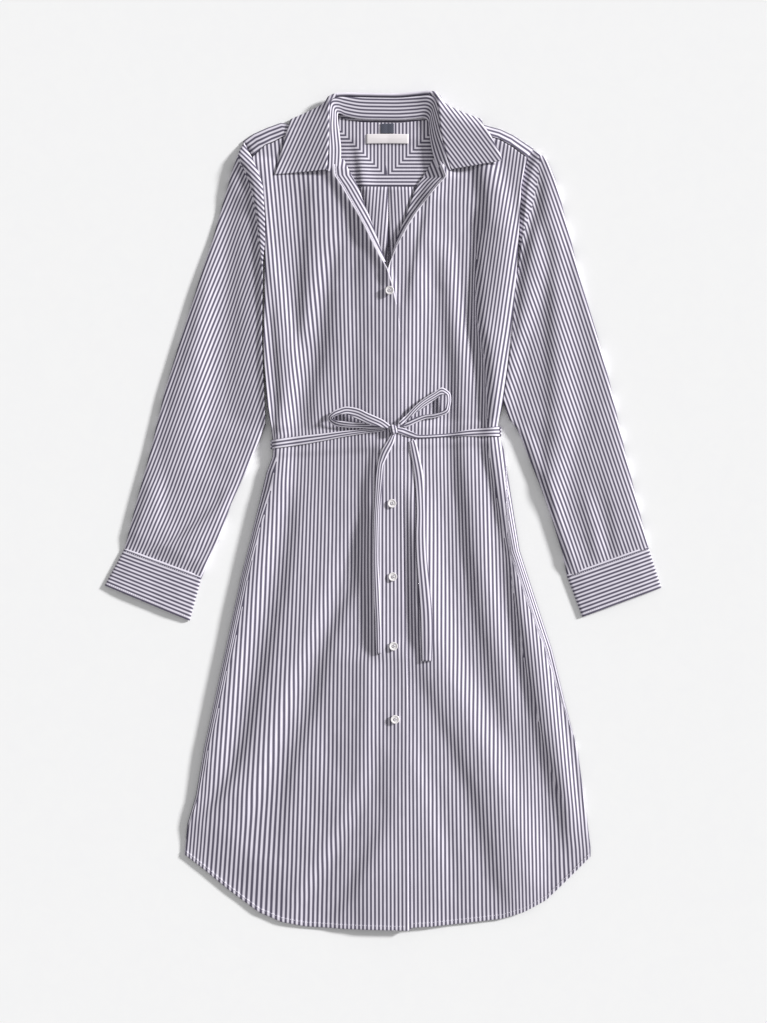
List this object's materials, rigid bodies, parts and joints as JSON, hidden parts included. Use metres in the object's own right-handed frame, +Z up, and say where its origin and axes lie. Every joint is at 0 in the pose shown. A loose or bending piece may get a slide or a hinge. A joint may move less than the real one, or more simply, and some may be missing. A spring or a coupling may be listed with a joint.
{
  "type": "shirt dress",
  "caption": "Striped cotton shirt dress laid flat, front side up, with an open pointed collar, long sleeves, shirt-tail hem and a tied cloth belt.",
  "frame": {"origin": "centre of the bounding box at the surface that the dress lies on", "axes": "+Y from the hem to the collar, +X towards the wearer's left, +Z up out of the front"},
  "size_m": [0.7411, 1.1133, 0.0209],
  "materials": {
    "striped_cotton": "plain-woven shirting, dark slate and near-white stripes of 2.3 mm, matt with a faint sheen",
    "button_shell": "pale pearly button with a raised rim",
    "woven_label": "smooth pale woven label, blank",
    "plain_tape": "ribbed plain tape"
  },
  "bodies": {
    "root": {"back": "striped_cotton", "yoke": "striped_cotton", "front_right": "striped_cotton", "front_left": "striped_cotton", "facing_right": "striped_cotton", "facing_left": "striped_cotton", "collar_stand": "striped_cotton", "collar_fall": "striped_cotton", "sleeve_right": "striped_cotton", "sleeve_left": "striped_cotton", "cuff_right": "striped_cotton", "cuff_left": "striped_cotton", "belt_right": "striped_cotton", "belt_left": "striped_cotton", "belt_back": "striped_cotton", "belt_knot": "striped_cotton", "bow_loop_right": "striped_cotton", "bow_loop_left": "striped_cotton", "belt_tail_right": "striped_cotton", "belt_tail_left": "striped_cotton", "button_1": "button_shell", "button_2": "button_shell", "button_3": "button_shell", "button_4": "button_shell", "button_5": "button_shell", "neck_label": "woven_label", "hanger_loop": "plain_tape"}
  },
  "joints": []
}
